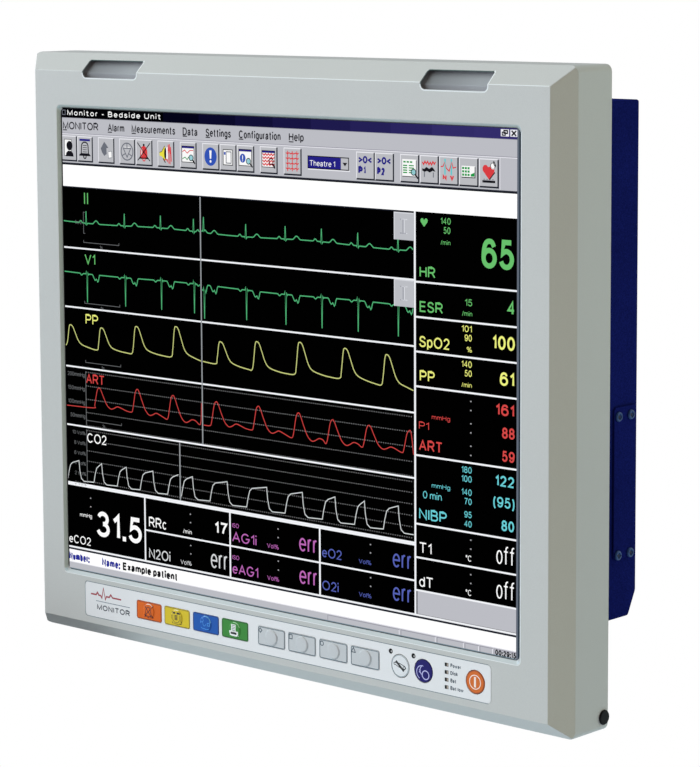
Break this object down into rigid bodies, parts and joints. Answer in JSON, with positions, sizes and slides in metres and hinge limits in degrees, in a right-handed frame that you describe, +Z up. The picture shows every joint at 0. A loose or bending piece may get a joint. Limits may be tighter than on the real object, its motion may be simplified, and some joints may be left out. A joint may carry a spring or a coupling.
{
  "type": "patient monitor",
  "caption": "Flat bedside patient monitor with a large colour screen in a grey bezel, a membrane key strip below it and a shallow blue rear housing for an arm mount.",
  "frame": {"origin": "centre of the back face of the rear mounting plate, level with the middle of the flat front face", "axes": "+Z up, the screen looks along -Y, +X is to the right of a person facing the screen, +Y is the mounting plate's outward normal"},
  "size_m": [0.4258, 0.0851, 0.3628],
  "materials": {
    "bezel_paint": "fine satin textured paint",
    "window_pane": "anti-glare pane bonded over a lit colour LCD",
    "gasket_foam": "closed-cell foam",
    "lcd_cell": "dark polariser",
    "light_guide_acrylic": "clear acrylic plate",
    "lamp_glass": "white coated tube",
    "lcd_steel": "plain pressed tray",
    "inverter_board": "solder mask",
    "overlay_film": "fine matt polyester film",
    "key_orange": "satin film",
    "key_yellow": "satin film",
    "key_blue": "satin film",
    "key_green": "satin film",
    "key_grey": "satin film",
    "key_pale": "satin film",
    "key_navy": "satin film",
    "key_power_orange": "satin film",
    "led_lens": "smoked light pipe, unlit",
    "led_lens_lit": "green light pipe, lit",
    "dome_steel": "thin spring sheet",
    "keypad_board_green": "solder mask",
    "bumper_rubber": "matt black rubber",
    "chassis_steel": "satin paint",
    "housing_paint": "dark blue fine textured paint",
    "mount_plate_paint": "dark grey powder coat",
    "screw_zinc": "blue passivated zinc",
    "main_board_green": "solder mask",
    "sink_aluminium": "extruded",
    "fan_plastic": "moulded",
    "disk_aluminium": "cast and stamped",
    "supply_aluminium": "folded sheet cover",
    "battery_shell": "moulded",
    "speaker_frame": "moulded",
    "inlet_plastic": "moulded",
    "socket_shell": "plated shell",
    "stud_brass": "plated",
    "cable_grey": "jacketed lead",
    "ribbon_grey": "jacketed lead"
  },
  "bodies": {
    "monitor": {"front_bezel": "bezel_paint", "screen_window": "window_pane", "window_gasket": "gasket_foam", "lcd_panel": "lcd_cell", "light_guide": "light_guide_acrylic", "backlight_lamp_upper": "lamp_glass", "backlight_lamp_lower": "lamp_glass", "lcd_rear_cover": "lcd_steel", "backlight_inverter": "inverter_board", "keypad_overlay": "overlay_film", "led_silence": "led_lens", "led_standby": "led_lens", "led_disk": "led_lens", "led_battery": "led_lens", "led_battery_low": "led_lens", "led_mains": "led_lens_lit", "dome_sheet": "dome_steel", "keypad_board": "keypad_board_green", "corner_bumper_right": "bumper_rubber", "corner_bumper_left": "bumper_rubber", "chassis_plate": "chassis_steel", "rear_housing": "housing_paint", "side_plate_right": "housing_paint", "side_plate_left": "housing_paint", "back_mount_plate": "mount_plate_paint", "side_screw_right_1": "screw_zinc", "side_screw_right_2": "screw_zinc", "side_screw_right_3": "screw_zinc", "side_screw_right_4": "screw_zinc", "side_screw_left_1": "screw_zinc", "side_screw_left_2": "screw_zinc", "side_screw_left_3": "screw_zinc", "side_screw_left_4": "screw_zinc", "main_board": "main_board_green", "cpu_heat_sink": "sink_aluminium", "fan_frame": "fan_plastic", "hard_disk": "disk_aluminium", "power_supply": "supply_aluminium", "battery_pack": "battery_shell", "loudspeaker": "speaker_frame", "power_inlet": "inlet_plastic", "patient_module_socket": "socket_shell", "network_socket": "socket_shell", "earth_stud": "stud_brass", "lcd_cable": "cable_grey", "keypad_ribbon": "ribbon_grey"},
    "key_alarm_silence": {"key_alarm_silence": "key_orange"},
    "key_event": {"key_event": "key_yellow"},
    "key_cuff_pressure": {"key_cuff_pressure": "key_blue"},
    "key_print": {"key_print": "key_green"},
    "softkey_diamond": {"softkey_diamond": "key_grey"},
    "softkey_square": {"softkey_square": "key_grey"},
    "softkey_circle": {"softkey_circle": "key_grey"},
    "softkey_triangle": {"softkey_triangle": "key_grey"},
    "key_mute": {"key_mute": "key_pale"},
    "key_standby": {"key_standby": "key_navy"},
    "key_power": {"key_power": "key_power_orange"},
    "fan_rotor": {"fan_rotor": "fan_plastic"}
  },
  "joints": [
    {"name": "press_key_alarm_silence", "type": "slide", "parent": "monitor", "child": "key_alarm_silence", "axis": [0, 1, 0], "range_m": [0, 0.0005]},
    {"name": "press_key_event", "type": "slide", "parent": "monitor", "child": "key_event", "axis": [0, 1, 0], "range_m": [0, 0.0005]},
    {"name": "press_key_cuff_pressure", "type": "slide", "parent": "monitor", "child": "key_cuff_pressure", "axis": [0, 1, 0], "range_m": [0, 0.0005]},
    {"name": "press_key_print", "type": "slide", "parent": "monitor", "child": "key_print", "axis": [0, 1, 0], "range_m": [0, 0.0005]},
    {"name": "press_softkey_diamond", "type": "slide", "parent": "monitor", "child": "softkey_diamond", "axis": [0, 1, 0], "range_m": [0, 0.0005]},
    {"name": "press_softkey_square", "type": "slide", "parent": "monitor", "child": "softkey_square", "axis": [0, 1, 0], "range_m": [0, 0.0005]},
    {"name": "press_softkey_circle", "type": "slide", "parent": "monitor", "child": "softkey_circle", "axis": [0, 1, 0], "range_m": [0, 0.0005]},
    {"name": "press_softkey_triangle", "type": "slide", "parent": "monitor", "child": "softkey_triangle", "axis": [0, 1, 0], "range_m": [0, 0.0005]},
    {"name": "press_key_mute", "type": "slide", "parent": "monitor", "child": "key_mute", "axis": [0, 1, 0], "range_m": [0, 0.0005]},
    {"name": "press_key_standby", "type": "slide", "parent": "monitor", "child": "key_standby", "axis": [0, 1, 0], "range_m": [0, 0.0005]},
    {"name": "press_key_power", "type": "slide", "parent": "monitor", "child": "key_power", "axis": [0, 1, 0], "range_m": [0, 0.0005]},
    {"name": "fan_spin", "type": "hinge", "parent": "monitor", "child": "fan_rotor", "pos_m": [-0.13, -0.014, 0.1], "axis": [0, 1, 0], "continuous": true}
  ]
}
